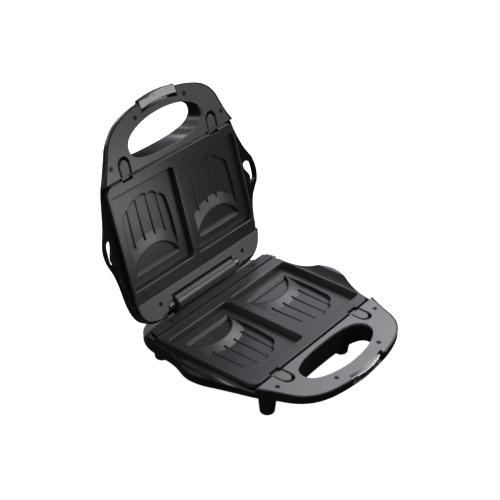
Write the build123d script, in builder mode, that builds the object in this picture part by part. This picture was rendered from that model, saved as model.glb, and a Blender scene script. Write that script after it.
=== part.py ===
from build123d import *
import math
import os

# ---------------------------------------------------------------------------
# Two-sandwich maker, lid open.
# Modelling frame: X along the hinge, -Y towards the handle, y = 0 on the seam
# between handle and body, z = 0 on the parting plane between the two plates.
# Every piece is moved at the end to the row frame, which has its origin on the
# table under the middle of the open appliance.
# ---------------------------------------------------------------------------

# overall
OPEN_DEG = 106.0          # lid angle in the stored pose
HINGE_Y = 177.0           # hinge axis behind the seam
HINGE_Z = 4.4             # hinge axis above the parting plane
FOOT_Z = -67.5            # table under the parting plane
ORIGIN_Y = 89.98          # middle of the open appliance, from the seam
GAP = 0.4                 # half the gap between closed halves
WALL = 2.4                # moulded wall

# cooking plate
PLATE_HW = 114.0
PLATE_Y0, PLATE_Y1 = 2.2, 152.0
RIM_Z = 5.7               # shell rim below the plate rim
LIP_Z = 1.5               # outer lip of the side bulges
POCKET_X = 57.5
POCKET_W, POCKET_Y0, POCKET_Y1 = 107.4, 16.2, 134.8
POCKET_D = 8.3

# handle
TRIM_T = 3.0
SCREWS_XY = [(97.9, -17.2), (42.9, -59.3), (-42.9, -59.3), (-97.9, -17.2)]
RELEASE_X = 77.5
RELEASE_TRAVEL = 4.2
LATCH_HW = 30.5
LATCH_PIN_Y, LATCH_PIN_Z = -70.0, 5.0
LATCH_TILT = 10.0         # how far the latch stands off in the stored pose

# hinge
BARREL_R, BARREL_HL = 11.0, 55.0
PIN_R = 2.5
NOTCH_X, NOTCH_Y = 57.5, 163.0
BASE_REAR_Z = -14.0
BASE_SHELF_Y, LID_EAR_Y = 166.0, 180.0

INLET_Z = -21.0           # cord's inlet bush, in the rear wall

# feet
FEET_XY = [(-75.0, 14.2), (75.0, 14.2), (-75.0, 180.5), (75.0, 180.5)]

# right half of the plan outline, from the front of the handle round to the rear
HALF = [
    (0, -78.8), (29, -76.4), (58, -71.1), (82, -61.4), (96.8, -46.8),
    (104.6, -29), (111.5, -12.5), (117.2, 0), (120, 14), (124, 28),
    (130, 43), (135.5, 55), (139.2, 65), (140.8, 76), (138.8, 86.5),
    (134, 97), (128, 108), (123.6, 120), (121, 134), (119.4, 149),
    (116.8, 162), (111.5, 173.5), (101.5, 182.3), (84, 187), (45, 188), (0, 188),
]
# the same without the side bulges, for the hollow inside
HALF_IN = [
    (0, -78.8), (29, -76.4), (58, -71.1), (82, -61.4), (96.8, -46.8),
    (104.6, -29), (111.5, -12.5), (116.6, 0), (117.0, 30), (117.1, 60),
    (117.1, 90), (117.0, 120), (116.6, 149),
    (114.0, 162), (108.0, 172.8), (98.4, 182.3), (84, 187), (45, 188), (0, 188),
]
# the lid's handle is a little smaller all round
HALF_LID = [
    (0, -75.8), (28.6, -73.5), (57, -68.3), (79.6, -59.1), (93.8, -45),
    (101.4, -28), (108.6, -12), (115.4, 0), (119.4, 14), (123.6, 28),
    (128.8, 43), (134, 55), (137.4, 65), (138.8, 76), (136.9, 86.5),
    (132.4, 97), (127, 108), (123, 120), (120.4, 134), (118.9, 149),
    (116.4, 162), (111.2, 173.5), (101.3, 182.3), (84, 187), (45, 188), (0, 188),
]
HALF_IN_LID = [
    (0, -75.8), (28.6, -73.5), (57, -68.3), (79.6, -59.1), (93.8, -45),
    (101.4, -28), (108.6, -12), (114.8, 0), (116.6, 30), (117.0, 60),
    (117.1, 90), (117.0, 120), (116.6, 149),
    (114.0, 162), (108.0, 172.8), (98.4, 182.3), (84, 187), (45, 188), (0, 188),
]
# the base runs a little further back, under the hinge
BASE_REAR = {182.3: 185.2, 187: 192.6, 188: 195.0}
# grey trim plate of the handle, right half, front to tip
TRIM = [
    (0, -77.0), (28.5, -74.6), (57, -69.4), (80.8, -59.9), (95, -45.6),
    (102.6, -28.5), (108.3, -14.2), (113.4, -1.4),
]
TRIM_LID = [
    (0, -74.4), (28.1, -72.1), (56.1, -67.0), (78.2, -57.8), (92.0, -44.1),
    (99.3, -27.5), (105.3, -13.8), (111.2, -1.4),
]
CENTRE_Y = 55.0
# crowned skin: height in the middle, front and rear half-lengths, then height at
# the edge and half-width along y
BASE_FORM = (38.0, 134.0, 240.0, [(-78, 9.5), (0, 11), (30, 12.5), (76, 13), (150, 16.5), (190, 17)], [(-20, 120), (60, 140)])
LID_FORM = (42.0, 131.0, 136.0, [(-78, 4.4), (-20, 5.0), (0, 6.2), (14, 7.4), (40, 8), (76, 7.6), (110, 10), (150, 14), (190, 15)],
            [(-20, 115.5), (14, 119.5), (110, 130)])
# the hollows inside: height, edge, half-width, front and rear half-lengths, depth of
# the straight sides, how square the corners are
BASE_HANDLE_CORE = (38.0, 9.5, 118.0, 134.0, 240.0, 10.0, 0.60)
BASE_BODY_CORE = (38.0, 11.5, 118.0, 134.0, 240.0, 12.0, 0.74)
LID_HANDLE_CORE = (42.0, 4.4, 115.0, 131.0, 136.0, 4.7, 0.60)
LID_BODY_CORE = (42.0, 10.0, 118.0, 134.0, 136.0, 7.6, 0.74)


def both(half):
    """Whole closed outline from its right half."""
    left = [(-x, y) for x, y in reversed(half) if x > 1e-9]
    return [tuple(map(float, p)) for p in half] + left


def grown(points, d):
    """Outline moved outwards by d (inwards if negative); points run counterclockwise."""
    n, out = len(points), []
    for i, (x, y) in enumerate(points):
        ax, ay = points[i - 1]
        bx, by = points[(i + 1) % n]
        tx, ty = bx - ax, by - ay
        size = math.hypot(tx, ty)
        out.append((x + d * ty / size, y - d * tx / size))
    return out


def half_width_front(x):
    """Front edge of the handle near its middle."""
    return -78.8 + 0.00285 * x * x


def between(points, y):
    """Value at y on a run of straight pieces through (y, value) points."""
    if y <= points[0][0]:
        return points[0][1]
    for (a, va), (b, vb) in zip(points, points[1:]):
        if y <= b:
            return va + (vb - va) * (y - a) / (b - a)
    return points[-1][1]


def skin_depth(x, y, form):
    """Distance of the outer skin from the parting plane."""
    height, front, rear, edges, widths = form
    edge = between(edges, y)
    d = y - CENTRE_Y
    n = between([(-5, 3.0), (CENTRE_Y, 4.0)], y)
    r = ((abs(x) / between(widths, y)) ** n + (abs(d) / (front if d < 0 else rear)) ** n) ** (1 / n)
    h = (height - edge) * (1 - r ** 2.6)
    return edge + 2.0 * math.log1p(math.exp(h / 2.0)) if h < 30 else edge + h


def outer_form(half, form, sign, rounding):
    """Solid outer form of one half: plan outline under a crowned skin."""
    nx, ny = 27, 31
    grid = [[Vector(-160 + 320 * i / (nx - 1), -110 + 330 * j / (ny - 1),
                    sign * skin_depth(-160 + 320 * i / (nx - 1), -110 + 330 * j / (ny - 1), form))
             for j in range(ny)] for i in range(nx)]
    above = extrude(Face.make_surface_from_array_of_points(grid), amount=80, dir=(0, 0, sign))
    with BuildPart() as whole:
        with BuildSketch(Plane.XY):
            with BuildLine():
                Spline(*both(half), periodic=True)
            make_face()
        extrude(amount=sign * 70)
        add(above, mode=Mode.SUBTRACT)
        fillet([e for e in whole.edges() if abs(e.center().Z) > 5 and e.length > 300], radius=rounding)
        fillet([e for e in whole.edges() if abs(e.center().Z) < 0.5 and e.length > 300], radius=1.0)
    return whole


def inner_form(half, form, sign):
    """Hollow inside one half: straight sides, then flat facets that follow the skin."""
    height, edge, wide, front, rear, straight, corner = form
    with BuildPart() as hollow:
        with BuildSketch(Plane.XY.offset(-sign)):
            with BuildLine():
                Spline(*grown(both(half), -WALL), periodic=True)
            make_face()
        extrude(amount=sign * (straight + 1.0))
        levels = [straight - 1.2, max(edge - 0.6, 10.4), height * .5, height * .68, height * .83, height - 4.2]
        for z in levels:
            r = min(.94, ((height - z - 2.2) / (height - edge)) ** (1 / 2.6))
            x, yf, yr = wide * r * .955, front * r * .955, rear * r * .955
            if rear > 150:
                yr = min(yr, 134.0)
            k = .60 if z < 11 else corner
            pts = [(-x * k, -yf), (x * k, -yf), (x, -yf * k), (x, yr * k), (x * k, yr), (-x * k, yr), (-x, yr * k), (-x, -yf * k)]
            with BuildSketch(Plane.XY.offset(sign * z)):
                with BuildLine():
                    Polyline(*[(px, CENTRE_Y + py) for px, py in pts], close=True)
                make_face()
        loft(ruled=True)
    return hollow


# solid outer forms and the hollows inside them
HALF_BASE = [(x, BASE_REAR.get(y, y)) for x, y in HALF]
HALF_IN_BASE = [(x, BASE_REAR.get(y, y)) for x, y in HALF_IN]
base_dome = outer_form(HALF_BASE, BASE_FORM, -1, 4.0)
base_core = inner_form(HALF_IN_BASE, BASE_BODY_CORE, -1)
base_handle_core = inner_form(HALF_IN_BASE, BASE_HANDLE_CORE, -1)
lid_dome = outer_form(HALF_LID, LID_FORM, 1, 3.0)
lid_core = inner_form(HALF_IN_LID, LID_BODY_CORE, 1)
lid_handle_core = inner_form(HALF_IN_LID, LID_HANDLE_CORE, 1)

# finger hole of the handle: round in front, flatter behind
HOLE = []
for t in range(0, 360, 15):
    c, s = math.cos(math.radians(t)), math.sin(math.radians(t))
    if s <= 0:
        HOLE.append((64.5 * c, -30.5 + 25.5 * s))
    else:
        HOLE.append((64.5 * math.copysign(abs(c) ** .72, c), -30.5 + 22.9 * abs(s) ** .72))


def arc_band(inner, outer, hw):
    """Face between two curves parallel to the handle's front edge; call inside a sketch."""
    def at(x, d):
        return (x, half_width_front(x) + d)
    with BuildLine() as rim:
        ThreePointArc(at(-hw, outer), at(0, outer), at(hw, outer))
        Line(at(hw, outer), at(hw, inner))
        ThreePointArc(at(hw, inner), at(0, inner), at(-hw, inner))
        Line(at(-hw, inner), at(-hw, outer))
    make_face(rim.edges())


# ---------------------------------------------------------------------------
# Shells
# ---------------------------------------------------------------------------
BASE_REAR_SCREWS = [(-79.0, 158.8), (79.0, 158.8)]
LID_REAR_SCREWS = [(-78.0, 166.2), (78.0, 166.2)]
TRAY_POSTS = [(-62, 34), (62, 34), (-62, 118), (62, 118)]
UNDER_TRIM = GAP + TRIM_T + 0.1


def away(sign):
    """Alignment of a feature that runs from the parting plane out to the skin."""
    return Align.MAX if sign < 0 else Align.MIN


def towards(sign):
    return Align.MIN if sign < 0 else Align.MAX


def body_shell(dome, core, sign, post_groups):
    """Main shell of one half, behind the seam; sign is -1 for the base, 1 for the lid."""
    with BuildPart() as hollow:
        add(core.part)
        with Locations((0, 11.0, 0)):
            Box(226, 128.4, 10.15, align=(Align.CENTER, Align.MIN, away(sign)))
        with Locations((0, 2.8, 0)):
            Box(400, 200, 300, align=(Align.CENTER, Align.MAX, Align.CENTER), mode=Mode.SUBTRACT)
        if sign < 0:
            with Locations((0, BASE_SHELF_Y - WALL, BASE_REAR_Z - WALL)):
                Box(400, 100, 100, align=(Align.CENTER, Align.MIN, Align.MIN), mode=Mode.SUBTRACT)
        else:
            with Locations((0, NOTCH_Y - WALL, 0)):
                Box(2 * (NOTCH_X + WALL), 100, 200, align=(Align.CENTER, Align.MIN, Align.CENTER), mode=Mode.SUBTRACT)
            # hinge knuckles beside the notch stay solid
            for side in (-1, 1):
                with BuildSketch(Plane.YZ.offset(side * (NOTCH_X - 1))):
                    with Locations((HINGE_Y, HINGE_Z)):
                        Rectangle(12.0, 13.0)
                extrude(amount=side * 9.5, mode=Mode.SUBTRACT)
        for places, radius, top in post_groups:
            with Locations(*[(x, y, sign * top) for x, y in places]):
                Cylinder(radius, 60, align=(Align.CENTER, Align.CENTER, away(sign)), mode=Mode.SUBTRACT)
    with BuildPart() as shell:
        add(dome.part)
        with Locations((0, 0.3, 0)):
            Box(400, 200, 300, align=(Align.CENTER, Align.MAX, Align.CENTER), mode=Mode.SUBTRACT)
        # the rim steps down beside the plate, and a little less under the rear trim
        with Locations((0, 0, sign * RIM_Z)):
            Box(2 * 116.4, 2 * (PLATE_Y1 + 0.4), 30, align=(Align.CENTER, Align.CENTER, towards(sign)), mode=Mode.SUBTRACT)
        with Locations((0, 0, sign * LIP_Z)):
            Box(400, 2 * (PLATE_Y1 + 0.4), 30, align=(Align.CENTER, Align.CENTER, towards(sign)), mode=Mode.SUBTRACT)
        # shallow dish along each side, rising to the bulge's outer lip
        for side in (-1, 1):
            with BuildSketch(Plane(origin=(side * 120.0, -5, -sign * 18.5), z_dir=(0, 1, 0))):
                Circle(25.0)
            extrude(amount=PLATE_Y1 + 5.4, mode=Mode.SUBTRACT)
        with Locations((0, PLATE_Y1 + 0.3, sign * UNDER_TRIM)):
            Box(400, 80, 30, align=(Align.CENTER, Align.MIN, towards(sign)), mode=Mode.SUBTRACT)
        if sign < 0:
            with Locations((0, BASE_SHELF_Y, BASE_REAR_Z)):
                Box(400, 80, 60, align=(Align.CENTER, Align.MIN, Align.MIN), mode=Mode.SUBTRACT)
        else:
            with Locations((0, NOTCH_Y, 0)):
                Box(2 * NOTCH_X, 100, 200, align=(Align.CENTER, Align.MIN, Align.CENTER), mode=Mode.SUBTRACT)
        add(hollow.part, mode=Mode.SUBTRACT)
    return shell


base_shell_raw = body_shell(base_dome, base_core, -1, [(BASE_REAR_SCREWS, 4.5, UNDER_TRIM), (TRAY_POSTS, 4.0, 25.0), (FEET_XY, 5.0, 21.0)])
lid_shell_raw = body_shell(lid_dome, lid_core, 1, [(LID_REAR_SCREWS, 4.5, UNDER_TRIM), (TRAY_POSTS, 4.0, 25.0)])

with BuildPart() as base_shell:
    add(base_shell_raw.part)
    with Locations(*[(x, y, -(UNDER_TRIM - 1)) for x, y in BASE_REAR_SCREWS]):
        Cylinder(1.6, 13, align=(Align.CENTER, Align.CENTER, Align.MAX), mode=Mode.SUBTRACT)
    # screw holes through the foot posts, with a seat for the head
    with Locations(*[(x, y, -23.0) for x, y in FEET_XY]):
        Cylinder(1.8, 40, align=(Align.CENTER, Align.CENTER, Align.MAX), mode=Mode.SUBTRACT)
    with Locations(*[(x, y, -17.5) for x, y in FEET_XY]):
        Cylinder(3.2, 6.0, align=(Align.CENTER, Align.CENTER, Align.MAX), mode=Mode.SUBTRACT)
    # hole for the cord's inlet bush, and two screw holes under the hinge barrel
    with BuildSketch(Plane(origin=(42, 186, INLET_Z), z_dir=(0, 1, 0))):
        Circle(4.6)
    extrude(amount=20, mode=Mode.SUBTRACT)
    with Locations((-30, 177, BASE_REAR_Z + 1), (30, 177, BASE_REAR_Z + 1)):
        Cylinder(1.8, 8, align=(Align.CENTER, Align.CENTER, Align.MAX), mode=Mode.SUBTRACT)

LIGHTS_XY = [(-9.0, 18.0), (9.0, 18.0)]


LIGHT_Z = skin_depth(LIGHTS_XY[0][0], LIGHTS_XY[0][1], LID_FORM)

with BuildPart() as lid_shell:
    add(lid_shell_raw.part)
    with Locations(*[(x, y, UNDER_TRIM - 1) for x, y in LID_REAR_SCREWS]):
        Cylinder(1.6, 13, align=(Align.CENTER, Align.CENTER, Align.MIN), mode=Mode.SUBTRACT)
    # hinge knuckles, round below
    for side in (-1, 1):
        with BuildSketch(Plane.YZ.offset(side * NOTCH_X)):
            with Locations((HINGE_Y, HINGE_Z)):
                Circle(6.0)
        extrude(amount=side * 8.5)
    with BuildSketch(Plane.YZ.offset(-80)):
        with Locations((HINGE_Y, HINGE_Z)):
            Circle(PIN_R + 0.05)
    extrude(amount=160, mode=Mode.SUBTRACT)
    # slot through each side bulge
    for side in (-1, 1):
        with BuildSketch(Plane.XY.offset(-1)):
            with BuildLine():
                Spline((side * 125.5, 76), (side * 126.0, 61.5), (side * 130.4, 62.5), (side * 134.6, 76),
                       (side * 130.8, 90), (side * 126.3, 91.5), periodic=True)
            make_face()
        extrude(amount=40, mode=Mode.SUBTRACT)
    with Locations(*[(x, y, 20) for x, y in LIGHTS_XY]):
        Cylinder(3.7, 60, align=(Align.CENTER, Align.CENTER, Align.MIN), mode=Mode.SUBTRACT)


# ---------------------------------------------------------------------------
# Handle halves: glossy cover outside, grey trim plate inside
# ---------------------------------------------------------------------------
def handle_cover(dome, core, sign, trim):
    with BuildPart() as hollow:
        add(core.part)
        with Locations((0, -0.3 - WALL, 0)):
            Box(400, 400, 300, align=(Align.CENTER, Align.MIN, Align.CENTER), mode=Mode.SUBTRACT)
        # wall round the finger hole
        with BuildSketch(Plane.XY.offset(sign * UNDER_TRIM)):
            with BuildLine():
                Spline(*grown(HOLE, WALL), periodic=True)
            make_face()
        extrude(amount=sign * 60, mode=Mode.SUBTRACT)
        with Locations(*[(x, y, sign * UNDER_TRIM) for x, y in SCREWS_XY]):
            Cylinder(4.2, 60, align=(Align.CENTER, Align.CENTER, away(sign)), mode=Mode.SUBTRACT)
        # floors under the two release buttons
        for side in (-1, 1):
            with Locations((side * RELEASE_X, -13.0, sign * 5.3)):
                Box(23, 25.4, 4.6, align=(Align.CENTER, Align.CENTER, away(sign)), mode=Mode.SUBTRACT)
        # block behind the catch, or round the latch's recess
        with BuildSketch(Plane.XY.offset(sign * UNDER_TRIM)):
            arc_band(14.0 if sign < 0 else 17.4, -6.0, LATCH_HW + 4.2)
        extrude(amount=sign * (9.0 if sign < 0 else 20.0), mode=Mode.SUBTRACT)
    with BuildPart() as cover:
        add(dome.part)
        with Locations((0, -0.3, 0)):
            Box(400, 400, 300, align=(Align.CENTER, Align.MIN, Align.CENTER), mode=Mode.SUBTRACT)
        # everything above the closed gap
        with Locations((0, 0, sign * GAP)):
            Box(400, 400, 20, align=(Align.CENTER, Align.CENTER, towards(sign)), mode=Mode.SUBTRACT)
        # seat for the trim plate
        with BuildSketch(Plane.XY):
            with BuildLine():
                Spline(*([(-x, y) for x, y in reversed(trim) if x > 0] + trim))
                tip = trim[-1][0]
                Polyline((tip, -1.4), (tip + 0.8, 2), (-tip - 0.8, 2), (-tip, -1.4))
            make_face()
        extrude(amount=sign * UNDER_TRIM, mode=Mode.SUBTRACT)
        add(hollow.part, mode=Mode.SUBTRACT)
        # the finger hole, through
        with BuildSketch(Plane.XY.offset(-60)):
            with BuildLine():
                Spline(*HOLE, periodic=True)
            make_face()
        extrude(amount=120, mode=Mode.SUBTRACT)
        with Locations(*[(x, y, sign * (UNDER_TRIM - 1)) for x, y in SCREWS_XY]):
            Cylinder(1.6, 12 if sign < 0 else 8, align=(Align.CENTER, Align.CENTER, away(sign)), mode=Mode.SUBTRACT)
        # slots in the button floors for the spring and the button's rib
        for side in (-1, 1):
            with Locations((side * RELEASE_X, -12.0, sign * 4)):
                Box(5.2, 17.0, 5.2, align=(Align.CENTER, Align.CENTER, away(sign)), mode=Mode.SUBTRACT)
            with Locations((side * RELEASE_X, 0, sign * (UNDER_TRIM - 0.05))):
                Box(15.6, 12, 1.95, align=(Align.CENTER, Align.CENTER, away(sign)), mode=Mode.SUBTRACT)
    return cover


def handle_trim(sign, outline):
    low = Align.MAX if sign < 0 else Align.MIN
    inner = [(x * .9975, -38 + (y + 38) * .9975) for x, y in outline]
    with BuildPart() as trim:
        with BuildSketch(Plane.XY.offset(sign * GAP)):
            with BuildLine():
                Spline(*([(-x, y) for x, y in reversed(inner) if x > 0] + inner))
                tip = inner[-1]
                Line(tip, (-tip[0], tip[1]))
            make_face()
            with BuildLine():
                Spline(*grown(HOLE, -0.3), periodic=True)
            make_face(mode=Mode.SUBTRACT)
        extrude(amount=sign * TRIM_T)
        # counterbored screw holes
        with Locations(*[(x, y, sign * (GAP - 1)) for x, y in SCREWS_XY]):
            Cylinder(3.0, 2.5, align=(Align.CENTER, Align.CENTER, low), mode=Mode.SUBTRACT)
        with Locations(*[(x, y, sign * (GAP - 1)) for x, y in SCREWS_XY]):
            Cylinder(1.8, 8, align=(Align.CENTER, Align.CENTER, low), mode=Mode.SUBTRACT)
        # U-shaped openings for the release buttons
        for side in (-1, 1):
            with BuildSketch(Plane.XY):
                with BuildLine():
                    Polyline((side * RELEASE_X - 9.6, 2), (side * RELEASE_X - 9.6, -15.0))
                    ThreePointArc((side * RELEASE_X - 9.6, -15.0), (side * RELEASE_X, -24.6), (side * RELEASE_X + 9.6, -15.0))
                    Polyline((side * RELEASE_X + 9.6, -15.0), (side * RELEASE_X + 9.6, 2), (side * RELEASE_X - 9.6, 2))
                make_face()
            extrude(amount=sign * 8, mode=Mode.SUBTRACT)
    return trim


base_cover_raw = handle_cover(base_dome, base_handle_core, -1, TRIM)
lid_cover_raw = handle_cover(lid_dome, lid_handle_core, 1, TRIM_LID)
base_trim_raw = handle_trim(-1, TRIM)
lid_trim_raw = handle_trim(1, TRIM_LID)

# latch recess in the lid's handle, catch recess in the base's
with BuildPart() as latch_space:
    with BuildSketch(Plane.XY.offset(-1)):
        arc_band(15.4, -30, LATCH_HW + 0.7)
    extrude(amount=10.4)
with BuildPart() as catch_space:
    with BuildSketch(Plane.XY.offset(1)):
        arc_band(4.9, -30, LATCH_HW + 1.6)
    extrude(amount=-9.4)
    with BuildSketch(Plane.XY.offset(1)):
        arc_band(7.5, -30, LATCH_HW + 1.6)
    extrude(amount=-5.0)
    # the catch plate's own slot into the cover
    with BuildSketch(Plane.XY.offset(-4.0)):
        arc_band(12.0, -30, LATCH_HW - 0.4)
    extrude(amount=-1.4)

with BuildPart() as base_handle_cover:
    add(base_cover_raw.part)
    add(catch_space.part, mode=Mode.SUBTRACT)

with BuildPart() as base_handle_frame:
    add(base_trim_raw.part)
    with BuildSketch(Plane.XY.offset(1)):
        arc_band(7.6, -30, LATCH_HW + 1.6)
    extrude(amount=-6, mode=Mode.SUBTRACT)

with BuildPart() as lid_handle_cover:
    add(lid_cover_raw.part)
    add(latch_space.part, mode=Mode.SUBTRACT)
    with BuildSketch(Plane.YZ.offset(-(LATCH_HW + 3.2))):
        with Locations((LATCH_PIN_Y, LATCH_PIN_Z)):
            Circle(1.5)
    extrude(amount=2 * (LATCH_HW + 3.2), mode=Mode.SUBTRACT)

with BuildPart() as lid_handle_frame:
    add(lid_trim_raw.part)
    with BuildSketch(Plane.XY.offset(-1)):
        arc_band(15.8, -30, LATCH_HW + 0.9)
    extrude(amount=8, mode=Mode.SUBTRACT)

# latch in its engaged place: cap, lip in front of the catch, hook under it
with BuildPart() as latch:
    with BuildSketch(Plane.XY.offset(0.6)):
        arc_band(11.5, 0.4, LATCH_HW)
    extrude(amount=6.8)
    # the lip is deepest over the catch and rises to nothing at both ends
    with BuildPart(mode=Mode.PRIVATE) as lip:
        with BuildSketch(Plane.XY.offset(1.0)):
            arc_band(2.1, 0.4, LATCH_HW)
        extrude(amount=-8.4)
        with BuildSketch(Plane.XZ.offset(120)):
            with BuildLine():
                ThreePointArc((-LATCH_HW, 0.8), (0, -12.0), (LATCH_HW, 0.8))
                Polyline((LATCH_HW, 0.8), (LATCH_HW, 3.0), (-LATCH_HW, 3.0), (-LATCH_HW, 0.8))
            make_face()
        extrude(amount=-90, mode=Mode.INTERSECT)
    add(lip.part)
    with BuildSketch(Plane.XY.offset(-5.9)):
        arc_band(4.2, 1.6, 12.0)
    extrude(amount=-1.5)
    outer = latch.edges().filter_by(GeomType.CIRCLE).sort_by(Axis.Y)[:2]
    fillet(outer, radius=1.4)
    with BuildSketch(Plane.YZ.offset(-40)):
        with Locations((LATCH_PIN_Y, LATCH_PIN_Z)):
            Circle(1.56)
    extrude(amount=80, mode=Mode.SUBTRACT)

with BuildPart() as latch_pin:
    with BuildSketch(Plane.YZ.offset(-(LATCH_HW + 3.0))):
        with Locations((LATCH_PIN_Y, LATCH_PIN_Z)):
            Circle(1.5)
    extrude(amount=2 * (LATCH_HW + 3.0))

# bright catch: a thin plate with a step and a tab in the middle
with BuildPart() as base_catch:
    with BuildSketch(Plane.XY.offset(-4.1)):
        arc_band(11.6, 4.7, LATCH_HW - 0.8)
        arc_band(5.2, 3.4, LATCH_HW - 9.0)
        arc_band(5.2, 2.7, 12.0)
    extrude(amount=-1.2)


# ---------------------------------------------------------------------------
# Release buttons and their springs (base half, mirrored for the lid)
# ---------------------------------------------------------------------------
def release_button(side):
    x0 = side * RELEASE_X
    with BuildPart() as button:
        with BuildSketch(Plane.XY.offset(-0.7)):
            with BuildLine():
                Line((x0 - 7.2, -1.2), (x0 - 7.2, -12.6))
                ThreePointArc((x0 - 7.2, -12.6), (x0, -19.8), (x0 + 7.2, -12.6))
                Line((x0 + 7.2, -12.6), (x0 + 7.2, -1.2))
                Line((x0 + 7.2, -1.2), (x0 - 7.2, -1.2))
            make_face()
        extrude(amount=-4.3)
        fillet(button.faces().sort_by(Axis.Z)[-1].edges(), radius=1.3)
        # thin tongue that reaches over the plate's lug
        with Locations((x0, -2.0, -3.6)):
            Box(12.0, 5.4, 1.4, align=(Align.CENTER, Align.MIN, Align.MAX))
        # rib that pushes the spring
        with Locations((x0, -5.6, -4.9)):
            Box(3.6, 2.0, 3.4, align=(Align.CENTER, Align.CENTER, Align.MAX))
    return button


base_release_left = release_button(-1)
base_release_right = release_button(1)


# ---------------------------------------------------------------------------
# Cooking plate (base half, mirrored for the lid)
# ---------------------------------------------------------------------------
FAN_TIPS = [(-37.5, 53.0), (-33.5, 44.0), (-24.6, 40.0), (-17.0, 33.6), (-8.6, 34.4), (0, 30.2),
            (8.6, 34.4), (17.0, 33.6), (24.6, 40.0), (33.5, 44.0), (37.5, 53.0)]
ARC_R = 42.6
MOON_Y, MOON_TOP, MOON_HW = 118.3, 95.0, 38.0
FAN_FLOOR = 12.0
GROOVES = [(-24.6, -26.5, 90.5), (-8.6, -9.0, 86.5), (8.6, 9.0, 86.5), (24.6, 26.5, 90.5)]


def fan_outline():
    """Fan with a scalloped front edge; call inside a sketch at the pocket's centre."""
    f = FAN_TIPS
    with BuildLine() as rim:
        ThreePointArc(f[0], f[1], f[2])
        ThreePointArc(f[2], f[3], f[4])
        ThreePointArc(f[4], f[5], f[6])
        ThreePointArc(f[6], f[7], f[8])
        ThreePointArc(f[8], f[9], f[10])
        ThreePointArc(f[10], (39.6, 80.0), (38.4, 114.6))
        ThreePointArc((38.4, 114.6), (0, MOON_TOP - 0.4), (-38.4, 114.6))
        ThreePointArc((-38.4, 114.6), (-39.6, 80.0), f[0])
    make_face(rim.edges())


with BuildPart() as fan_cut:
    # level floor, and a ramp down from the half-moon's ridge that follows its arc
    with BuildSketch(Plane.YZ):
        with BuildLine():
            Polyline((99.5, -POCKET_D + 1), (99.5, -8.4), (95.0, -8.5), (80.5, -FAN_FLOOR), (12.0, -FAN_FLOOR), (12.0, -POCKET_D + 1), close=True)
        make_face()
    revolve(axis=Axis((0, 139.5, 0), (0, 0, 1)))
    # four narrow grooves between the five fingers, deeper towards the ramp and running up into it
    for x_front, x_back, y_back in GROOVES:
        a, b = Vector(x_front, 30.0, -FAN_FLOOR - 0.7), Vector(x_back, y_back, -FAN_FLOOR - 1.6)
        d = (b - a).normalized()
        with BuildSketch(Plane(origin=a, x_dir=(d.Y, -d.X, 0), z_dir=d)):
            with BuildLine():
                Polyline((0, 0), (1.5, -1.5), (1.5, -7.0), (-1.5, -7.0), (-1.5, -1.5), close=True)
            make_face()
        extrude(amount=(b - a).length)
    with BuildPart(mode=Mode.PRIVATE) as fan_prism:
        with BuildSketch(Plane.XY.offset(-POCKET_D + 0.5)):
            fan_outline()
        extrude(amount=-9)
    add(fan_prism.part, mode=Mode.INTERSECT)

with BuildPart() as moon_cut:
    with BuildSketch(Plane.XY.offset(-POCKET_D + 0.2)):
        with BuildLine():
            Line((-MOON_HW, MOON_Y), (MOON_HW, MOON_Y))
            ThreePointArc((MOON_HW, MOON_Y), (0, MOON_TOP + 0.6), (-MOON_HW, MOON_Y))
        make_face()
    extrude(amount=-4.4, taper=8)
    # bevel along the straight rear edge
    with BuildSketch(Plane.YZ.offset(-MOON_HW)):
        with BuildLine():
            Polyline((MOON_Y - 2.0, -POCKET_D + 0.2), (MOON_Y + 3.6, -POCKET_D + 0.2), (MOON_Y - 2.0, -12.45), close=True)
        make_face()
    extrude(amount=2 * MOON_HW)

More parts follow.
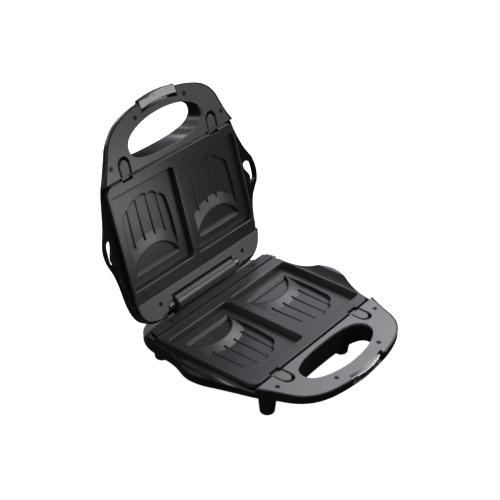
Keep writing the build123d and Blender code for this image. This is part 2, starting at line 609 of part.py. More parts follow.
with BuildPart() as base_plate:
    # rim slab with rounded front corners
    with BuildSketch(Plane.XY.offset(-GAP)):
        with Locations((0, (PLATE_Y0 + PLATE_Y1) / 2)):
            Rectangle(2 * PLATE_HW, PLATE_Y1 - PLATE_Y0)
    extrude(amount=-5.2)
    fillet(base_plate.edges().filter_by(Axis.Z).group_by(Axis.Y)[0], radius=11)
    fillet(base_plate.edges().filter_by(Axis.Z).group_by(Axis.Y)[-1], radius=3)
    # shallow step along the rear rim
    with Locations((0, 143.0, -GAP)):
        Box(260, 30, 1.6, align=(Align.CENTER, Align.MIN, Align.MAX), mode=Mode.SUBTRACT)
    # walls of the pockets below the slab
    with BuildSketch(Plane.XY.offset(-5.5)):
        with Locations((0, (POCKET_Y0 + POCKET_Y1) / 2)):
            RectangleRounded(2 * (POCKET_X + POCKET_W / 2 + 1.2), POCKET_Y1 - POCKET_Y0 + 5, 5)
    extrude(amount=-4.4, taper=4)
    for x in (-POCKET_X, POCKET_X):
        with BuildSketch(Plane.XY.offset(-9.7)):
            with Locations((x, 74)):
                RectangleRounded(84, 98, 8)
        extrude(amount=-5.9, taper=10)
    for x in (-POCKET_X, POCKET_X):
        with BuildSketch(Plane.XY.offset(-GAP)):
            with Locations((x, (POCKET_Y0 + POCKET_Y1) / 2)):
                RectangleRounded(POCKET_W, POCKET_Y1 - POCKET_Y0, 5)
        extrude(amount=-(POCKET_D - GAP), taper=10, mode=Mode.SUBTRACT)
    # rounded lips: round the outside and round each pocket
    lips = [e for e in base_plate.edges() if abs(e.center().Z + GAP) < 0.01 and e.center().Y < 142.9]
    fillet(lips, radius=1.1)
    for x in (-POCKET_X, POCKET_X):
        with Locations((x, 0, 0)):
            add(fan_cut.part, mode=Mode.SUBTRACT)
            add(moon_cut.part, mode=Mode.SUBTRACT)
    # notches for the release buttons and the rear tabs
    for side in (-1, 1):
        with Locations((side * RELEASE_X, PLATE_Y0 - 1, 0)):
            Box(16.6, 4.0, 5.5, align=(Align.CENTER, Align.MIN, Align.MAX), mode=Mode.SUBTRACT)
        with Locations((side * 92.0, PLATE_Y1 - 2, -4.6)):
            Box(9.0, 5.0, 1.0, align=(Align.CENTER, Align.MIN, Align.MAX))

# tubular heating element in a loop under the plate
ELEMENT_Z, ELEMENT_R = -20.2, 3.2
with BuildPart() as base_element:
    with BuildLine() as loop:
        FilletPolyline((-16, 150, ELEMENT_Z), (-16, 128, ELEMENT_Z), (-71, 128, ELEMENT_Z), (-71, 30, ELEMENT_Z),
                       (71, 30, ELEMENT_Z), (71, 128, ELEMENT_Z), (16, 128, ELEMENT_Z), (16, 150, ELEMENT_Z), radius=14)
    with BuildSketch(Plane(origin=(-16, 150, ELEMENT_Z), z_dir=(0, -1, 0))):
        Circle(ELEMENT_R)
    sweep()
    # ceramic ends and tab terminals
    for x in (-16, 16):
        with BuildSketch(Plane(origin=(x, 149.5, ELEMENT_Z), z_dir=(0, 1, 0))):
            Circle(2.6)
        extrude(amount=4.0)
        with Locations((x, 152, ELEMENT_Z)):
            Box(3.6, 6, 0.8, align=(Align.CENTER, Align.MIN, Align.CENTER))

# pressed tray under the element
with BuildPart() as base_reflector:
    with BuildSketch(Plane.XY.offset(-18.0)):
        with Locations((0, 81)):
            RectangleRounded(155, 117, 12)
    extrude(amount=-6.9)
    with BuildSketch(Plane.XY.offset(-17.0)):
        with Locations((0, 81)):
            RectangleRounded(153.8, 115.8, 11.4)
    extrude(amount=-7.3, mode=Mode.SUBTRACT)
    # slots for the element's two ends
    for x in (-16, 16):
        with Locations((x, 140, -15.0)):
            Box(9.0, 10, 8.6, align=(Align.CENTER, Align.CENTER, Align.MAX), mode=Mode.SUBTRACT)

# saddle clips that hold the element down on the tray
with BuildPart() as base_clips:
    for x, y in ((-71, 78), (71, 78), (-30, 30), (30, 30)):
        turn = 0 if abs(x) > 50 else 90
        with BuildSketch(Plane(origin=(x, y, -24.2), x_dir=(math.cos(math.radians(turn)), math.sin(math.radians(turn)), 0),
                               z_dir=(math.sin(math.radians(turn)), -math.cos(math.radians(turn)), 0))):
            with Locations((0, 4.0)):
                Circle(4.1)
            Rectangle(8.2, 4.0, align=(Align.CENTER, Align.MIN))
            Rectangle(11.2, 0.8, align=(Align.CENTER, Align.MIN))
            with Locations((0, 4.0)):
                Circle(3.3, mode=Mode.SUBTRACT)
            with Locations((0, -1)):
                Rectangle(6.6, 5.0, align=(Align.CENTER, Align.MIN), mode=Mode.SUBTRACT)
        extrude(amount=5, both=True)

# ---------------------------------------------------------------------------
# Rear trims, hinge
# ---------------------------------------------------------------------------
with BuildPart() as base_rear_frame:
    with BuildSketch(Plane.XY.offset(-GAP)):
        with BuildLine():
            Polyline((-111.5, 152.6), (111.5, 152.6))
            Spline((111.5, 152.6), (110.2, 160), (107.6, BASE_SHELF_Y - 0.2))
            Line((107.6, BASE_SHELF_Y - 0.2), (-107.6, BASE_SHELF_Y - 0.2))
            Spline((-107.6, BASE_SHELF_Y - 0.2), (-110.2, 160), (-111.5, 152.6))
        make_face()
    extrude(amount=-TRIM_T)
    with Locations(*[(x, y, -(GAP - 1)) for x, y in BASE_REAR_SCREWS]):
        Cylinder(3.0, 2.5, align=(Align.CENTER, Align.CENTER, Align.MAX), mode=Mode.SUBTRACT)
    with Locations(*[(x, y, -(GAP - 1)) for x, y in BASE_REAR_SCREWS]):
        Cylinder(1.8, 8, align=(Align.CENTER, Align.CENTER, Align.MAX), mode=Mode.SUBTRACT)

with BuildPart() as lid_rear_frame:
    with BuildSketch(Plane.XY.offset(GAP)):
        with BuildLine():
            Line((-112.2, 152.6), (112.2, 152.6))
            Spline((112.2, 152.6), (110.8, 163), (106.5, 172.5), (101.0, 178.0))
            Spline((101.0, 178.0), (97.5, 179.6), (93.0, LID_EAR_Y))
            Polyline((93.0, LID_EAR_Y), (NOTCH_X, LID_EAR_Y), (NOTCH_X, NOTCH_Y), (-NOTCH_X, NOTCH_Y), (-NOTCH_X, LID_EAR_Y), (-93.0, LID_EAR_Y))
            Spline((-93.0, LID_EAR_Y), (-97.5, 179.6), (-101.0, 178.0))
            Spline((-101.0, 178.0), (-106.5, 172.5), (-110.8, 163), (-112.2, 152.6))
        make_face()
    extrude(amount=TRIM_T)
    for side in (-1, 1):
        with BuildSketch(Plane.YZ.offset(side * (NOTCH_X - 0.5))):
            with Locations((HINGE_Y, HINGE_Z)):
                Rectangle(13.4, 14.4)
        extrude(amount=side * 9.3, mode=Mode.SUBTRACT)
    with Locations(*[(x, y, GAP - 1) for x, y in LID_REAR_SCREWS]):
        Cylinder(3.0, 2.5, align=(Align.CENTER, Align.CENTER, Align.MIN), mode=Mode.SUBTRACT)
    with Locations(*[(x, y, GAP - 1) for x, y in LID_REAR_SCREWS]):
        Cylinder(1.8, 8, align=(Align.CENTER, Align.CENTER, Align.MIN), mode=Mode.SUBTRACT)

with BuildPart() as hinge_barrel:
    with BuildSketch(Plane.YZ.offset(-BARREL_HL)):
        with Locations((HINGE_Y, HINGE_Z)):
            Circle(BARREL_R)
    extrude(amount=2 * BARREL_HL)
    fillet(hinge_barrel.edges().filter_by(GeomType.CIRCLE), radius=1.5)
    with Locations((0, HINGE_Y, BASE_REAR_Z)):
        Box(96, 12, HINGE_Z - BASE_REAR_Z, align=(Align.CENTER, Align.CENTER, Align.MIN))
    with BuildSketch(Plane.YZ.offset(-(BARREL_HL - 8))):
        with Locations((HINGE_Y, HINGE_Z)):
            Circle(7.6)
    extrude(amount=2 * (BARREL_HL - 8), mode=Mode.SUBTRACT)
    with BuildSketch(Plane.YZ.offset(-BARREL_HL - 1)):
        with Locations((HINGE_Y, HINGE_Z)):
            Circle(PIN_R)
    extrude(amount=2 * BARREL_HL + 2, mode=Mode.SUBTRACT)
    with Locations((-30, HINGE_Y, BASE_REAR_Z), (30, HINGE_Y, BASE_REAR_Z)):
        Cylinder(1.6, 9, align=(Align.CENTER, Align.CENTER, Align.MIN), mode=Mode.SUBTRACT)

with BuildPart() as hinge_pins:
    for side in (-1, 1):
        with BuildSketch(Plane.YZ.offset(side * (BARREL_HL - 7.5))):
            with Locations((HINGE_Y, HINGE_Z)):
                Circle(PIN_R)
        extrude(amount=side * 18.0)

# ---------------------------------------------------------------------------
# Screws
# ---------------------------------------------------------------------------
def screws(places, top, sign, length=12.0, head=2.7):
    """Pan-head screws with a cross recess; heads at depth top, shanks away from it."""
    low = Align.MAX if sign < 0 else Align.MIN
    with BuildPart() as group:
        with Locations(*[(x, y, sign * top) for x, y in places]):
            Cylinder(head, 1.4, align=(Align.CENTER, Align.CENTER, low))
        with Locations(*[(x, y, sign * (top + 1.3)) for x, y in places]):
            Cylinder(1.5, length, align=(Align.CENTER, Align.CENTER, low))
        with Locations(*[(x, y, sign * (top - 1)) for x, y in places]):
            Box(2.8, 0.7, 1.8, align=(Align.CENTER, Align.CENTER, low), mode=Mode.SUBTRACT)
        with Locations(*[(x, y, sign * (top - 1)) for x, y in places]):
            Box(0.7, 2.8, 1.8, align=(Align.CENTER, Align.CENTER, low), mode=Mode.SUBTRACT)
    return group


base_handle_screws = screws(SCREWS_XY, GAP + 0.1, -1, 11.0)
lid_handle_screws = screws(SCREWS_XY, GAP + 0.1, 1, 7.2)
base_rear_screws = screws(BASE_REAR_SCREWS, GAP + 0.1, -1)
lid_rear_screws = screws(LID_REAR_SCREWS, GAP + 0.1, 1)
foot_screws = screws(FEET_XY, 22.0, -1, 18.0)
with BuildPart() as hinge_screws:
    with Locations((-30, HINGE_Y, BASE_REAR_Z - WALL - 1.5), (30, HINGE_Y, BASE_REAR_Z - WALL - 1.5)):
        Cylinder(2.9, 1.4, align=(Align.CENTER, Align.CENTER, Align.MIN))
    with Locations((-30, HINGE_Y, BASE_REAR_Z - WALL - 0.2), (30, HINGE_Y, BASE_REAR_Z - WALL - 0.2)):
        Cylinder(1.5, 10, align=(Align.CENTER, Align.CENTER, Align.MIN))

# feet: tapered, round-bottomed edge, cut to the shell's underside
with BuildPart() as feet:
    for x, y in FEET_XY:
        with BuildSketch(Plane.XY.offset(FOOT_Z)):
            with Locations((x, y)):
                Circle(9.0)
        with BuildSketch(Plane.XY.offset(-12.0)):
            with Locations((x, y)):
                Circle(14.6)
        loft()
    fillet(feet.faces().group_by(Axis.Z)[0].edges(), radius=2.6)
    add(Pos(0, 0, -0.1) * base_dome.part, mode=Mode.SUBTRACT)
    with Locations(*[(x, y, -50) for x, y in FEET_XY]):
        Cylinder(1.6, 40, align=(Align.CENTER, Align.CENTER, Align.MIN), mode=Mode.SUBTRACT)
    with Locations(*[(x, y, -5) for x, y in FEET_XY]):
        Box(60, 60, 18.2, align=(Align.CENTER, Align.CENTER, Align.MAX), mode=Mode.SUBTRACT)

# ---------------------------------------------------------------------------
# Electrical pieces
# ---------------------------------------------------------------------------
with BuildPart() as cord_inlet:
    with BuildSketch(Plane(origin=(42, 190.0, INLET_Z), z_dir=(0, 1, 0))):
        Circle(4.5)
    extrude(amount=6.0)
    with BuildSketch(Plane(origin=(42, 195.2, INLET_Z), z_dir=(0, 1, 0))):
        Circle(6.0)
    extrude(amount=2.6)
    chamfer(cord_inlet.faces().sort_by(Axis.Y)[-1].edges().sort_by(SortBy.LENGTH)[-1], length=0.6)
    with BuildSketch(Plane(origin=(42, 183, INLET_Z), z_dir=(0, 1, 0))):
        Circle(3.2)
    extrude(amount=20, mode=Mode.SUBTRACT)

with BuildPart() as terminal_block:
    with Locations((0, 175, -26.4)):
        Box(34, 9, 9, align=(Align.CENTER, Align.CENTER, Align.MIN))
    fillet(terminal_block.edges().filter_by(Axis.X), radius=0.8)
    with Locations((-11, 175, -15.9), (0, 175, -15.9), (11, 175, -15.9)):
        Cylinder(2.4, 6, align=(Align.CENTER, Align.CENTER, Align.MAX), mode=Mode.SUBTRACT)
    with BuildSketch(Plane(origin=(0, 166, -23.4), x_dir=(1, 0, 0), z_dir=(0, 1, 0))):
        with Locations((-11, 0), (0, 0), (11, 0)):
            Circle(1.6)
    extrude(amount=20, mode=Mode.SUBTRACT)

with BuildPart() as terminal_screws:
    with Locations((-11, 175, -21.8), (0, 175, -21.8), (11, 175, -21.8)):
        Cylinder(2.2, 3.0, align=(Align.CENTER, Align.CENTER, Align.MIN))
    with Locations((-11, 175, -18.6), (0, 175, -18.6), (11, 175, -18.6)):
        Box(3.4, 0.6, 1.4, align=(Align.CENTER, Align.CENTER, Align.CENTER), mode=Mode.SUBTRACT)

with BuildPart() as thermal_fuse:
    with BuildSketch(Plane(origin=(0, 152, -27), z_dir=(1, 0, 0))):
        Circle(2.0)
    extrude(amount=6, both=True)
    with BuildSketch(Plane(origin=(0, 152, -27), z_dir=(1, 0, 0))):
        Circle(0.6)
    extrude(amount=11, both=True)

with BuildPart() as thermostat:
    # disc thermostat on a bracket over the lid's heating tray
    with Locations((0, 77, 25.1)):
        Cylinder(8.4, 6.0, align=(Align.CENTER, Align.CENTER, Align.MIN))
    with Locations((0, 77, 25.1)):
        Box(30, 8, 1.0, align=(Align.CENTER, Align.CENTER, Align.MIN))
    with Locations((-6, 77, 31), (6, 77, 31)):
        Box(0.8, 5, 4, align=(Align.CENTER, Align.CENTER, Align.MIN))

with BuildPart() as indicator_lenses:
    with Locations(*[(x, y, LIGHT_Z - 6.0) for x, y in LIGHTS_XY]):
        Cylinder(3.5, 7.0, align=(Align.CENTER, Align.CENTER, Align.MIN))
    fillet(indicator_lenses.faces().group_by(Axis.Z)[-1].edges(), radius=1.2)

with BuildPart() as indicator_lamps:
    with Locations(*[(x, y, LIGHT_Z - 13.0) for x, y in LIGHTS_XY]):
        Cylinder(2.2, 6.6, align=(Align.CENTER, Align.CENTER, Align.MIN))
    fillet(indicator_lamps.faces().group_by(Axis.Z)[-1].edges(), radius=1.0)


def wires(routes, r=1.0):
    """Insulated wires: straight runs joined by tangent arcs."""
    with BuildPart() as harness:
        for pts in routes:
            a, b = Vector(*pts[0]), Vector(*pts[1])
            with BuildLine() as route:
                FilletPolyline(*pts, radius=5)
            with BuildSketch(Plane(origin=pts[0], z_dir=tuple(b - a))):
                Circle(r)
            sweep(path=route.wires()[0])
    return harness


base_wiring = wires([
    [(-11, 171.5, -23.4), (-11, 160.0, -23.4), (-38, 150.0, -25.0)],
    [(11, 171.5, -23.4), (11, 160.0, -23.4), (38, 150.0, -25.0)],
    [(42, 188.5, INLET_Z), (42, 172.0, INLET_Z), (22, 164.0, -24.0)],
])
lid_wiring = wires([
    [(-6, 77, 36.2), (-6, 98, 36.2), (-16, 135, 27.5)],
    [(6, 77, 36.2), (6, 98, 36.2), (16, 135, 27.5)],
])

with BuildPart() as base_release_springs:
    for side in (-1, 1):
        x0 = side * RELEASE_X
        coil = Helix(pitch=2.1, height=12.2, radius=1.35, center=(x0, -19.6, -7.0), direction=(0, 1, 0))
        with BuildSketch(Plane(origin=coil @ 0, z_dir=coil % 0)):
            Circle(0.26)
        sweep(path=coil)


# ---------------------------------------------------------------------------
# Placing and writing
# ---------------------------------------------------------------------------
PLACE = Location((0, -ORIGIN_Y, -FOOT_Z))
OPEN = Location((0, HINGE_Y, HINGE_Z)) * Location((0, 0, 0), (-OPEN_DEG, 0, 0)) * Location((0, -HINGE_Y, -HINGE_Z))
STAND_OFF = Location((0, LATCH_PIN_Y, LATCH_PIN_Z)) * Location((0, 0, 0), (-LATCH_TILT, 0, 0)) * Location((0, -LATCH_PIN_Y, -LATCH_PIN_Z))
LID = PLACE * OPEN


def mirrored(builder):
    """The same piece in the lid, seen across the parting plane."""
    with BuildPart() as other:
        add(mirror(builder.part, about=Plane.XY, mode=Mode.PRIVATE))
    return other


lid_plate = mirrored(base_plate)
lid_element = mirrored(base_element)
lid_reflector = mirrored(base_reflector)
lid_clips = mirrored(base_clips)
lid_release_left = mirrored(base_release_left)
lid_release_right = mirrored(base_release_right)
lid_release_springs = mirrored(base_release_springs)

PIECES = {
    "base_shell": (base_shell, PLACE), "base_handle_cover": (base_handle_cover, PLACE),
    "base_handle_frame": (base_handle_frame, PLACE), "base_rear_frame": (base_rear_frame, PLACE),
    "base_plate": (base_plate, PLACE), "base_catch": (base_catch, PLACE),
    "base_release_left": (base_release_left, PLACE), "base_release_right": (base_release_right, PLACE),
    "base_release_springs": (base_release_springs, PLACE),
    "base_element": (base_element, PLACE), "base_reflector": (base_reflector, PLACE),
    "base_element_clips": (base_clips, PLACE), "hinge_barrel": (hinge_barrel, PLACE),
    "hinge_pins": (hinge_pins, PLACE), "hinge_screws": (hinge_screws, PLACE),
    "base_handle_screws": (base_handle_screws, PLACE), "base_rear_screws": (base_rear_screws, PLACE),
    "foot_screws": (foot_screws, PLACE), "feet": (feet, PLACE), "cord_inlet": (cord_inlet, PLACE),
    "terminal_block": (terminal_block, PLACE), "terminal_screws": (terminal_screws, PLACE),
    "thermal_fuse": (thermal_fuse, PLACE), "base_wiring": (base_wiring, PLACE),
    "lid_shell": (lid_shell, LID), "lid_handle_cover": (lid_handle_cover, LID),
    "lid_handle_frame": (lid_handle_frame, LID), "lid_rear_frame": (lid_rear_frame, LID),
    "lid_plate": (lid_plate, LID), "lid_element": (lid_element, LID),
    "lid_reflector": (lid_reflector, LID), "lid_element_clips": (lid_clips, LID),
    "lid_release_left": (lid_release_left, LID), "lid_release_right": (lid_release_right, LID),
    "lid_release_springs": (lid_release_springs, LID),
    "lid_handle_screws": (lid_handle_screws, LID), "lid_rear_screws": (lid_rear_screws, LID),
    "thermostat": (thermostat, LID), "indicator_lenses": (indicator_lenses, LID),
    "indicator_lamps": (indicator_lamps, LID), "lid_wiring": (lid_wiring, LID),
    "latch": (latch, LID * STAND_OFF), "latch_pin": (latch_pin, LID),
}

os.makedirs("parts", exist_ok=True)
for name, (piece, place) in PIECES.items():
    piece.part.move(place)
    piece.part.label = name
    export_step(piece.part, f"parts/{name}.step")
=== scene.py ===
import math
import bpy
import bmesh
from mathutils import Matrix, Vector

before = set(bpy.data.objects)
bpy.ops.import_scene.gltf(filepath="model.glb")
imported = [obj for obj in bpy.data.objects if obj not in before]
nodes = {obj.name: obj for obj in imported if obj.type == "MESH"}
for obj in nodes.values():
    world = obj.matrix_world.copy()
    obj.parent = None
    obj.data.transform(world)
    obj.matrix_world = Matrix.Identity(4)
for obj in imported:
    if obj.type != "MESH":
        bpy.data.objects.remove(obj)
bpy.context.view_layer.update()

scene = bpy.context.scene


# ---------------------------------------------------------------- node helpers
class Tree:
    """Short way to build a material's nodes."""

    def __init__(self, name):
        self.mat = bpy.data.materials.new(name)
        self.mat.use_nodes = True
        self.nt = self.mat.node_tree
        self.nt.nodes.clear()
        self.out = self.add("ShaderNodeOutputMaterial")
        self.bsdf = self.add("ShaderNodeBsdfPrincipled")
        self.link(self.bsdf.outputs[0], self.out.inputs[0])
        self.coord = self.add("ShaderNodeTexCoord").outputs["Object"]

    def add(self, kind, **values):
        node = self.nt.nodes.new(kind)
        for key, value in values.items():
            setattr(node, key, value)
        return node

    def link(self, a, b):
        self.nt.links.new(a, b)

    def put(self, socket, value):
        if hasattr(value, "is_output"):
            self.link(value, socket)
        else:
            socket.default_value = value

    def set(self, **values):
        for key, value in values.items():
            self.put(self.bsdf.inputs[key.replace("_", " ")], value)

    def math(self, op, a, b=0.0, c=0.0, clamp=False):
        node = self.add("ShaderNodeMath", operation=op, use_clamp=clamp)
        for i, v in enumerate((a, b, c)):
            self.put(node.inputs[i], v)
        return node.outputs[0]

    def noise(self, scale, detail=2.0, rough=0.5, stretch=None):
        vec = self.coord
        if stretch:
            mapping = self.add("ShaderNodeMapping")
            mapping.inputs["Scale"].default_value = stretch
            self.link(vec, mapping.inputs["Vector"])
            vec = mapping.outputs[0]
        node = self.add("ShaderNodeTexNoise")
        self.link(vec, node.inputs["Vector"])
        node.inputs["Scale"].default_value = scale
        node.inputs["Detail"].default_value = detail
        node.inputs["Roughness"].default_value = rough
        return node.outputs[0]

    def ramp(self, fac, lo, hi, a=0.0, b=1.0):
        node = self.add("ShaderNodeMapRange")
        self.put(node.inputs["Value"], fac)
        for key, v in (("From Min", lo), ("From Max", hi), ("To Min", a), ("To Max", b)):
            self.put(node.inputs[key], v)
        return node.outputs[0]

    def mix(self, fac, a, b):
        node = self.add("ShaderNodeMix", data_type="RGBA")
        self.put(node.inputs[0], fac)
        for socket, v in ((node.inputs[6], a), (node.inputs[7], b)):
            self.put(socket, v if hasattr(v, "is_output") else (*v, 1.0))
        return node.outputs[2]

    def normal(self, heights, edge=0.0006, strength=1.0):
        """Rounded edges, then each (height, distance) bump on top."""
        bevel = self.add("ShaderNodeBevel", samples=6)
        bevel.inputs["Radius"].default_value = edge
        last = bevel.outputs[0]
        for height, distance in heights:
            bump = self.add("ShaderNodeBump")
            bump.inputs["Strength"].default_value = strength
            bump.inputs["Distance"].default_value = distance
            self.link(height, bump.inputs["Height"])
            self.link(last, bump.inputs["Normal"])
            last = bump.outputs[0]
        self.link(last, self.bsdf.inputs["Normal"])


def gloss_black():
    """High-gloss moulded plastic with a faint orange peel, handling haze and hairline scuffs."""
    t = Tree("gloss_black")
    haze = t.noise(28, 4, .6)
    fine = t.noise(900, 2)
    scuff = t.noise(70, 3, .55, stretch=(1, 18, 18))
    t.set(Base_Color=t.mix(t.ramp(haze, .35, .7), (.0085, .0085, .0095), (.013, .013, .014)),
          Roughness=t.math("ADD", t.ramp(haze, .3, .75, .13, .24), t.ramp(scuff, .62, .75, 0.0, .05)))
    t.bsdf.inputs["Specular IOR Level"].default_value = .5
    t.bsdf.inputs["Coat Weight"].default_value = .35
    t.bsdf.inputs["Coat Roughness"].default_value = .08
    t.normal([(t.noise(260, 2), .00004), (fine, .000008)], .0007)
    return t.mat


def grey_trim(name, tone, rough=.38):
    """Satin grey moulding with a fine metallic fleck and spark-eroded grain."""
    t = Tree(name)
    fleck = t.noise(2600, 2, .6)
    cloud = t.noise(22, 3, .5)
    grain = t.noise(1500, 3, .6)
    dark = tuple(v * .84 for v in tone)
    light = tuple(min(1.0, v * 1.18) for v in tone)
    body = t.mix(t.ramp(fleck, .32, .68), dark, light)
    body = t.mix(t.ramp(cloud, .35, .7, 0.0, .35), body, tuple(v * .9 for v in tone))
    t.set(Base_Color=body, Roughness=t.math("ADD", t.ramp(grain, .3, .7, rough - .06, rough + .06), t.ramp(cloud, .3, .7, -.03, .03)))
    t.bsdf.inputs["Metallic"].default_value = .35
    t.normal([(grain, .00003), (fleck, .000012)], .0005)
    return t.mat


def nonstick(name, tone, rough=.36):
    """Sprayed non-stick coating over cast aluminium: fine speckle, slight unevenness."""
    t = Tree(name)
    speck = t.noise(3200, 2, .65)
    orange = t.noise(1100, 3, .6)
    cloud = t.noise(16, 4, .55)
    fleck = t.add("ShaderNodeTexVoronoi", feature="F1")
    fleck.inputs["Scale"].default_value = 900
    t.link(t.coord, fleck.inputs["Vector"])
    body = t.mix(t.ramp(speck, .3, .7), tuple(v * .85 for v in tone), tuple(v * 1.2 for v in tone))
    body = t.mix(t.ramp(fleck.outputs["Distance"], .0, .16, .22, 0.0), body, tuple(min(1, v * 3.2) for v in tone))
    body = t.mix(t.ramp(cloud, .35, .7, 0.0, .4), body, tuple(v * .82 for v in tone))
    # painted shade: the coating's colour goes near black in corners and recesses, from ambient occlusion
    shade_occlusion = t.add("ShaderNodeAmbientOcclusion", samples=8, only_local=True)
    shade_occlusion.inputs["Distance"].default_value = .0055
    unshaded_mask = t.ramp(shade_occlusion.outputs["AO"], .58, .95)
    body = t.mix(unshaded_mask, tuple(v * .06 for v in tone), body)
    # the coating is also made rougher where the painted shade darkens the recesses
    recess_dullness = t.math("MULTIPLY", t.math("SUBTRACT", 1.0, unshaded_mask, clamp=True), .4)
    t.set(Base_Color=body, Roughness=t.math("ADD", t.math("ADD", t.ramp(orange, .3, .7, rough - .05, rough + .06), t.ramp(cloud, .35, .7, 0.0, .05)), recess_dullness))
    t.bsdf.inputs["Specular IOR Level"].default_value = .62
    t.normal([(orange, .00005), (speck, .00001)], .0010)
    return t.mat


def plastic(name, tone, rough, grain=1400, depth=.00003, edge=.0005):
    t = Tree(name)
    g = t.noise(grain, 3, .6)
    cloud = t.noise(40, 3)
    t.set(Base_Color=t.mix(t.ramp(cloud, .35, .7), tuple(v * .88 for v in tone), tuple(min(1.0, v * 1.1) for v in tone)),
          Roughness=t.ramp(g, .3, .7, rough - .07, rough + .07))
    t.normal([(g, depth)], edge)
    return t.mat


def metal(name, tone, rough, brushed=None, edge=.0004):
    t = Tree(name)
    smear = t.noise(60, 4, .6)
    line = t.noise(500, 3, .6, stretch=brushed or (1, 1, 1))
    t.set(Base_Color=t.mix(t.ramp(smear, .35, .7), tuple(v * .9 for v in tone), tone),
          Roughness=t.math("ADD", t.ramp(smear, .3, .75, rough, rough + .06), t.ramp(line, .3, .7, 0.0, .08 if brushed else .02)))
    t.bsdf.inputs["Metallic"].default_value = 1.0
    t.normal([(line, .00001)], edge)
    return t.mat


def element_metal():
    """Heat-coloured sheath: straw to blue-brown stains along the tube."""
    t = Tree("element_metal")
    stain = t.noise(35, 4, .6)
    grain = t.noise(900, 2)
    col = t.mix(t.ramp(stain, .35, .62), (.23, .19, .15), (.10, .10, .12))
    t.set(Base_Color=col, Roughness=t.ramp(grain, .3, .7, .38, .52))
    t.bsdf.inputs["Metallic"].default_value = .8
    t.normal([(grain, .00003)], .0003)
    return t.mat


def lens():
    t = Tree("red_lens")
    ribs = t.noise(400, 1)
    t.set(Base_Color=t.mix(t.ramp(ribs, .4, .6), (.42, .012, .008), (.55, .03, .018)), Roughness=t.ramp(ribs, .3, .7, .10, .16))
    t.bsdf.inputs["Coat Weight"].default_value = .4
    t.normal([(ribs, .00002)], .0004)
    return t.mat


def braid():
    """Glass-braid sleeving on the internal wires."""
    t = Tree("wire_braid")
    a = t.noise(1800, 2, .5, stretch=(1, .35, 1))
    b = t.noise(1800, 2, .5, stretch=(.35, 1, 1))
    w = t.math("MULTIPLY", a, b)
    t.set(Base_Color=t.mix(t.ramp(w, .15, .4), (.46, .43, .36), (.78, .75, .68)), Roughness=t.ramp(a, .3, .7, .7, .85))
    t.normal([(w, .0002)], .0002)
    return t.mat


GLOSS = gloss_black()
# one moulding on both handle frames: the base copy is painted lighter as painted sheen, the lid copy darker as painted
# shade
BASE_TRIM_SHEEN_COPY = grey_trim("grey_trim_base", (.225, .222, .228))
LID_TRIM_SHADED_COPY = grey_trim("grey_trim_lid", (.115, .111, .107))
# one moulding on both rear frames: the base copy is painted near black as painted shade under the open lid, the lid
# copy light grey as painted sheen
REAR_TRIM_SHADED_COPY = grey_trim("grey_trim_rear", (.030, .030, .034), .36)
LID_REAR_TRIM_SHEEN_COPY = grey_trim("grey_trim_lid_rear", (.17, .17, .175), .36)
# one coating on both plates: the lid copy is painted darker as painted shade, the base copy lighter as painted light
PLATE_LIT_COPY = nonstick("nonstick", (.024, .024, .029), .28)
LID_PLATE_SHADED_COPY = nonstick("nonstick_lid", (.017, .017, .0195), .31)
# one moulding on all release buttons: the lid pair is painted darker as painted shade
RELEASE_LIT_COPY = grey_trim("release_grey", (.20, .197, .205), .42)
LID_RELEASE_SHADED_COPY = grey_trim("release_grey_lid", (.10, .098, .10), .42)
CHROME = metal("bright_metal", (.84, .84, .86), .07)
SATIN = metal("satin_metal", (.155, .155, .158), .30, (1, 12, 12))
STEEL = metal("steel", (.56, .56, .57), .25, (1, 14, 14))
DARK_STEEL = metal("dark_steel", (.035, .035, .038), .36)
TRAY = metal("aluminium_tray", (.72, .72, .74), .26, (14, 1, 14))
BARREL = plastic("satin_black", (.030, .030, .032), .36, 1600, .00002, .0006)
RUBBER = plastic("black_rubber", (.012, .012, .012), .42, 1900, .00004)
CERAMIC = plastic("ceramic", (.80, .78, .70), .6, 900, .00003)
TERMINAL = plastic("terminal", (.74, .74, .68), .48)
LAMP = plastic("lamp", (.80, .50, .40), .2, 600, .00001)
LENS = lens()
BRAID = braid()
ELEMENT = element_metal()

LOOK = {
    "base_shell": GLOSS, "base_handle_cover": GLOSS, "lid_shell": GLOSS, "lid_handle_cover": GLOSS, "hinge_barrel": BARREL,
    "base_handle_frame": BASE_TRIM_SHEEN_COPY, "lid_handle_frame": LID_TRIM_SHADED_COPY, "base_rear_frame": REAR_TRIM_SHADED_COPY, "lid_rear_frame": LID_REAR_TRIM_SHEEN_COPY,
    "base_plate": PLATE_LIT_COPY, "lid_plate": LID_PLATE_SHADED_COPY, "base_catch": CHROME, "latch": SATIN, "latch_pin": STEEL,
    "base_release_left": RELEASE_LIT_COPY, "base_release_right": RELEASE_LIT_COPY, "lid_release_left": LID_RELEASE_SHADED_COPY, "lid_release_right": LID_RELEASE_SHADED_COPY,
    "base_release_springs": STEEL, "lid_release_springs": STEEL, "base_element": ELEMENT, "lid_element": ELEMENT,
    "base_reflector": TRAY, "lid_reflector": TRAY, "base_element_clips": STEEL, "lid_element_clips": STEEL,
    "hinge_pins": STEEL, "hinge_screws": STEEL, "base_handle_screws": DARK_STEEL, "base_rear_screws": DARK_STEEL,
    "lid_handle_screws": DARK_STEEL, "lid_rear_screws": DARK_STEEL, "foot_screws": STEEL, "feet": RUBBER,
    "cord_inlet": RUBBER, "terminal_block": TERMINAL, "terminal_screws": STEEL, "thermal_fuse": CERAMIC,
    "base_wiring": BRAID, "lid_wiring": BRAID, "thermostat": STEEL, "indicator_lenses": LENS, "indicator_lamps": LAMP,
}
for name, obj in nodes.items():
    obj.data.materials.clear()
    obj.data.materials.append(LOOK[name])

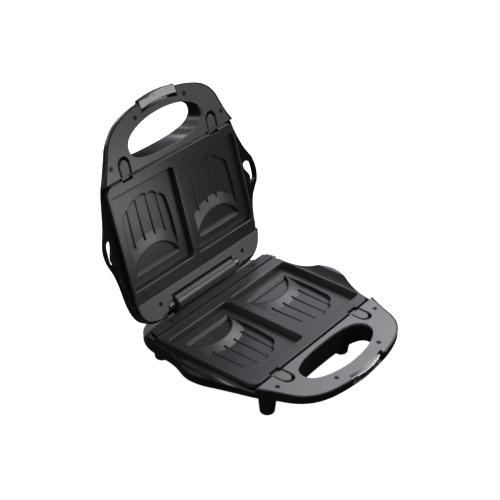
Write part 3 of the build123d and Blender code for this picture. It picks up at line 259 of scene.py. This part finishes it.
# ---------------------------------------------------------------- floor, light, camera
floor_mat = Tree("floor")
soft = floor_mat.noise(3, 2)
floor_mat.set(Base_Color=floor_mat.mix(soft, (.86, .86, .86), (.88, .88, .88)), Roughness=.9)
floor_mat.bsdf.inputs["Emission Color"].default_value = (1, 1, 1, 1)
floor_mat.bsdf.inputs["Emission Strength"].default_value = .9
bpy.ops.mesh.primitive_plane_add(size=30, location=(0, 0, -.0004))
floor = bpy.context.object
floor.name = "floor"
floor.data.materials.append(floor_mat.mat)
floor.visible_glossy = False
floor.visible_diffuse = False

world = bpy.data.worlds.new("studio")
scene.world = world
world.use_nodes = True
wn = world.node_tree
direction = wn.nodes.new("ShaderNodeTexCoord")
split = wn.nodes.new("ShaderNodeSeparateXYZ")
rise = wn.nodes.new("ShaderNodeMapRange")
rise.interpolation_type = "SMOOTHSTEP"
for key, v in (("From Min", -.12), ("From Max", .5), ("To Min", .015), ("To Max", .36)):
    rise.inputs[key].default_value = v
wn.links.new(direction.outputs["Generated"], split.inputs[0])
wn.links.new(split.outputs["Z"], rise.inputs["Value"])
wn.nodes["Background"].inputs[0].default_value = (.92, .95, 1, 1)
# seen past the floor's far edge, the studio is as white as the floor
path = wn.nodes.new("ShaderNodeLightPath")
white = wn.nodes.new("ShaderNodeMath")
white.operation = "MULTIPLY_ADD"
white.inputs[1].default_value = 1.2
wn.links.new(path.outputs["Is Camera Ray"], white.inputs[0])
wn.links.new(rise.outputs[0], white.inputs[2])
wn.links.new(white.outputs[0], wn.nodes["Background"].inputs[1])


def area(name, loc, target, size, power, colour=(1, 1, 1)):
    lamp = bpy.data.lights.new(name, "AREA")
    lamp.shape = "RECTANGLE"
    lamp.size, lamp.size_y = size
    lamp.energy = power
    lamp.color = colour
    obj = bpy.data.objects.new(name, lamp)
    scene.collection.objects.link(obj)
    obj.location = loc
    obj.visible_camera = False
    obj.rotation_euler = (Vector(target) - Vector(loc)).to_track_quat("-Z", "Y").to_euler()
    return obj


area("key", (1.25, .15, 1.35), (0, 0, .03), (.8, .7), 8, (.97, .98, 1))
area("ramp", (1.15, -.95, .85), (0, 0, .0), (.6, .5), 6.5)
area("side", (-.55, -.45, .22), (-.12, .10, .17), (.3, .3), .25, (1, .98, .95))
area("rear", (1.45, 1.25, .95), (0, 0, .05), (1.1, .8), 4.5, (.84, .91, 1))
area("back", (-.1, 1.75, .62), (0, .15, .12), (1.8, .8), 6)
area("left", (-1.9, .45, .85), (0, .1, .1), (1.0, .7), 4)
# a small lamp for the lid's inside alone, near enough to fall off from its left to its right
inside = bpy.data.collections.new("lid_inside")
for name in ("lid_plate", "lid_handle_frame", "lid_rear_frame", "lid_release_left", "lid_release_right", "lid_handle_screws",
             "lid_rear_screws", "latch", "hinge_barrel"):
    inside.objects.link(nodes[name])
near = area("near", (.08, -.13, .19), (-.11, .13, .24), (.13, .13), .17, (1, .985, .96))
near.light_linking.receiver_collection = inside

cam = bpy.data.cameras.new("camera")
cam.sensor_fit = "HORIZONTAL"
cam.sensor_width = 36.0
cam.lens = 36.0 * 1219.5419 / 500
camera = bpy.data.objects.new("camera", cam)
scene.collection.objects.link(camera)
x = Vector((.62485693, -.78072315, .00501842))
y = Vector((.41633067, .33863686, .84379728))
z = Vector((-.66047149, -.52516326, .53663858))
turn = Matrix((x, y, z)).transposed().to_4x4()
camera.matrix_world = Matrix.Translation((-.95615564, -.74910720, .92971278)) @ turn
scene.camera = camera
scene.view_settings.view_transform = "Standard"
scene.view_settings.look = "None"
